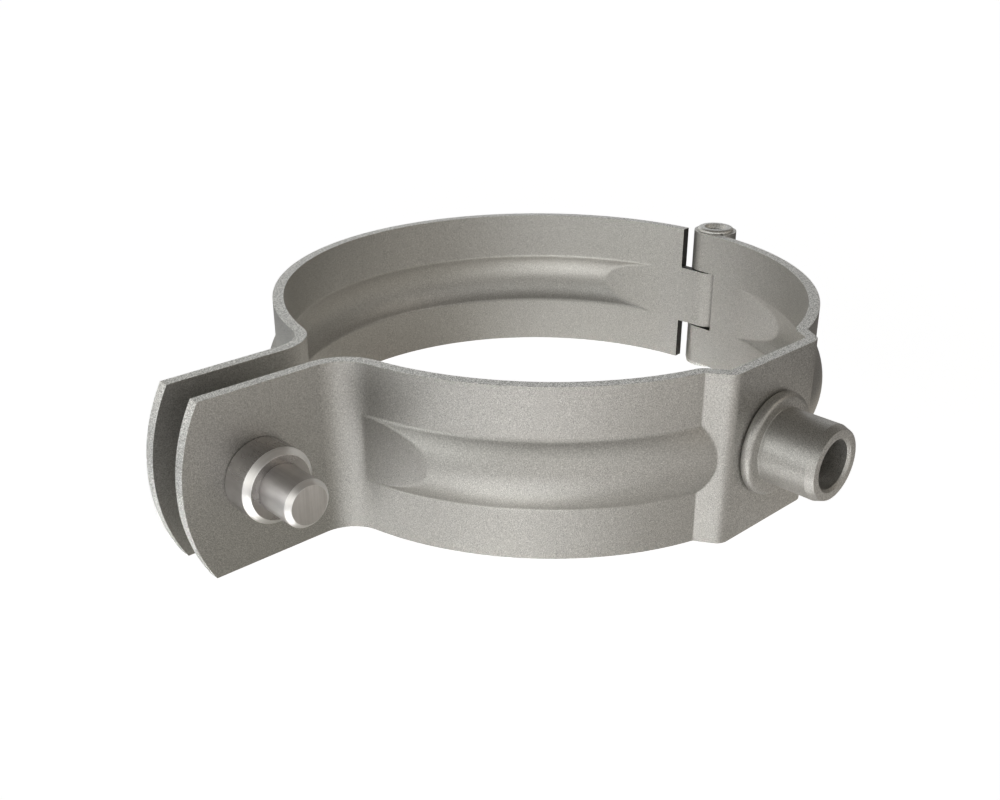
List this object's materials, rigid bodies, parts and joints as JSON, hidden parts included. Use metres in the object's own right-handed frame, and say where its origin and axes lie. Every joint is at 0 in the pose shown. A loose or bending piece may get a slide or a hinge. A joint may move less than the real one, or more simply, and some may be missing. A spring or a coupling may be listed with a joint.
{
  "type": "downpipe bracket",
  "caption": "Hinged steel strip clamp that holds a round downpipe on a threaded stud, closed by a screw through its ears.",
  "frame": {"origin": "on the pipe's axis, at the middle of the strip's width", "axes": "+Z along the pipe, +X from the ears to the hinge, -Y out through the socket for the wall stud"},
  "size_m": [0.1391, 0.118, 0.0317],
  "materials": {
    "zinc_strip": "zinc-coated strip, matt with a fine grain",
    "pin_zinc": "zinc-plated rivet",
    "socket_zinc": "turned and zinc-plated, satin",
    "nut_zinc": "turned and zinc-plated, bright chamfer",
    "screw_zinc": "bright zinc plating, brushed end"
  },
  "bodies": {
    "front_half": {"socket_band": "zinc_strip", "hinge_pin": "pin_zinc", "threaded_socket": "socket_zinc", "press_nut": "nut_zinc"},
    "back_half": {"plain_band": "zinc_strip"},
    "screw": {"clamp_screw": "screw_zinc"}
  },
  "joints": [
    {"name": "band_hinge", "type": "hinge", "parent": "front_half", "child": "back_half", "pos_m": [0.05355, 0, 0], "axis": [0, 0, -1], "range_deg": [-2.9, 5]},
    {"name": "screw_travel", "type": "slide", "parent": "front_half", "child": "screw", "axis": [0, 1, 0], "range_m": [-0.00623, 0.01073]}
  ],
  "couplings": [
    {"joint": "screw_travel", "follows": "band_hinge", "m_per_rad": 0.123}
  ]
}
